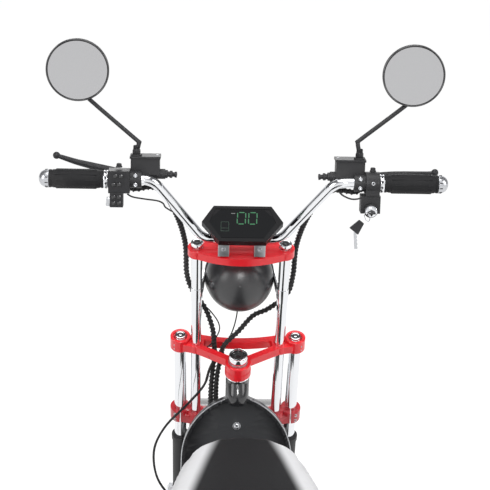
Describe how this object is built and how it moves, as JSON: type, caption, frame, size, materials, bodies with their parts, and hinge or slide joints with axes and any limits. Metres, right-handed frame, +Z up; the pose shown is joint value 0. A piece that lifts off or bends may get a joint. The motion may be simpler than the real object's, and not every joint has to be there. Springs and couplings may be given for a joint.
{
  "type": "electric chopper scooter",
  "caption": "Fat-tyre electric chopper scooter with high handlebar, twin-tube fork with red yokes, scooped foot pan, long seat and centre stand; bars steer, wheels turn, stand folds",
  "frame": {"origin": "On the floor, under the middle of the overall box, the scooter standing upright on its centre stand.", "axes": "+X is the rider's right, +Y is forward, +Z is up."},
  "size_m": [0.876, 1.8784, 1.4532],
  "materials": {
    "main_frame": "satin black",
    "head_races": "bright",
    "foot_pan": "gloss black",
    "deck_mat": "ribbed",
    "battery_box": "satin black",
    "controller_case": "fine grain",
    "seat_base": "moulded",
    "seat": "satin, pale sides",
    "swingarm": "satin black",
    "pivot_bolt": "zinc",
    "rear_shocks": "bright",
    "rear_axle": "zinc",
    "rear_caliper": "satin black",
    "rear_mudguard": "gloss black",
    "tail_lamp": "clear red",
    "plate_bracket": "satin black",
    "rear_rim": "cast and machined",
    "rear_tyre": "road tread",
    "rear_disc": "ground",
    "centre_stand": "satin black",
    "steering_stem": "bright",
    "lower_yoke": "gloss red",
    "middle_yoke": "gloss red",
    "upper_yoke": "gloss red",
    "inner_tubes": "bright",
    "outer_tubes": "bright",
    "fork_sliders": "satin black",
    "front_axle": "zinc",
    "front_caliper": "satin black",
    "front_mudguard": "gloss black",
    "headlamp_shell": "satin black",
    "headlamp_lens": "clear",
    "headlamp_brackets": "satin black",
    "handlebar": "bright",
    "bar_clamps": "bright",
    "grips": "moulded",
    "grip_trims": "bright",
    "master_cylinders": "satin black",
    "brake_levers": "satin black",
    "switch_block": "moulded",
    "throttle_housing": "moulded",
    "ignition_lock": "satin black",
    "display": "gloss black",
    "mirrors": "satin black",
    "mirror_glass": "mirror",
    "wiring_looms": "wrapped",
    "brake_hose": "smooth",
    "front_rim": "cast and machined",
    "front_tyre": "road tread",
    "front_disc": "ground"
  },
  "bodies": {
    "frame": {"main_frame": "main_frame", "head_races": "head_races", "foot_pan": "foot_pan", "deck_mat": "deck_mat", "battery_box": "battery_box", "controller_case": "controller_case", "seat_base": "seat_base", "seat": "seat", "swingarm": "swingarm", "pivot_bolt": "pivot_bolt", "rear_shocks": "rear_shocks", "rear_axle": "rear_axle", "rear_caliper": "rear_caliper", "rear_mudguard": "rear_mudguard", "tail_lamp": "tail_lamp", "plate_bracket": "plate_bracket"},
    "steering": {"steering_stem": "steering_stem", "lower_yoke": "lower_yoke", "middle_yoke": "middle_yoke", "upper_yoke": "upper_yoke", "inner_tubes": "inner_tubes", "outer_tubes": "outer_tubes", "fork_sliders": "fork_sliders", "front_axle": "front_axle", "front_caliper": "front_caliper", "front_mudguard": "front_mudguard", "headlamp_shell": "headlamp_shell", "headlamp_lens": "headlamp_lens", "headlamp_brackets": "headlamp_brackets", "handlebar": "handlebar", "bar_clamps": "bar_clamps", "grips": "grips", "grip_trims": "grip_trims", "master_cylinders": "master_cylinders", "brake_levers": "brake_levers", "switch_block": "switch_block", "throttle_housing": "throttle_housing", "ignition_lock": "ignition_lock", "display": "display", "mirrors": "mirrors", "mirror_glass": "mirror_glass", "wiring_looms": "wiring_looms", "brake_hose": "brake_hose"},
    "front_wheel": {"front_rim": "front_rim", "front_tyre": "front_tyre", "front_disc": "front_disc"},
    "rear_wheel": {"rear_rim": "rear_rim", "rear_tyre": "rear_tyre", "rear_disc": "rear_disc"},
    "stand": {"centre_stand": "centre_stand"}
  },
  "joints": [
    {"name": "steering_turn", "type": "hinge", "parent": "frame", "child": "steering", "pos_m": [0, 0.50051, 0.4693], "axis": [0, -0.454, 0.891], "range_deg": [-30, 30]},
    {"name": "front_wheel_spin", "type": "hinge", "parent": "steering", "child": "front_wheel", "pos_m": [0, 0.71075, 0.2285], "axis": [1, 0, 0], "continuous": true},
    {"name": "rear_wheel_spin", "type": "hinge", "parent": "frame", "child": "rear_wheel", "pos_m": [0, -0.66925, 0.2385], "axis": [1, 0, 0], "continuous": true},
    {"name": "stand_fold", "type": "hinge", "parent": "frame", "child": "stand", "pos_m": [0, -0.27425, 0.212], "axis": [-1, 0, 0], "range_deg": [0, 80]}
  ]
}
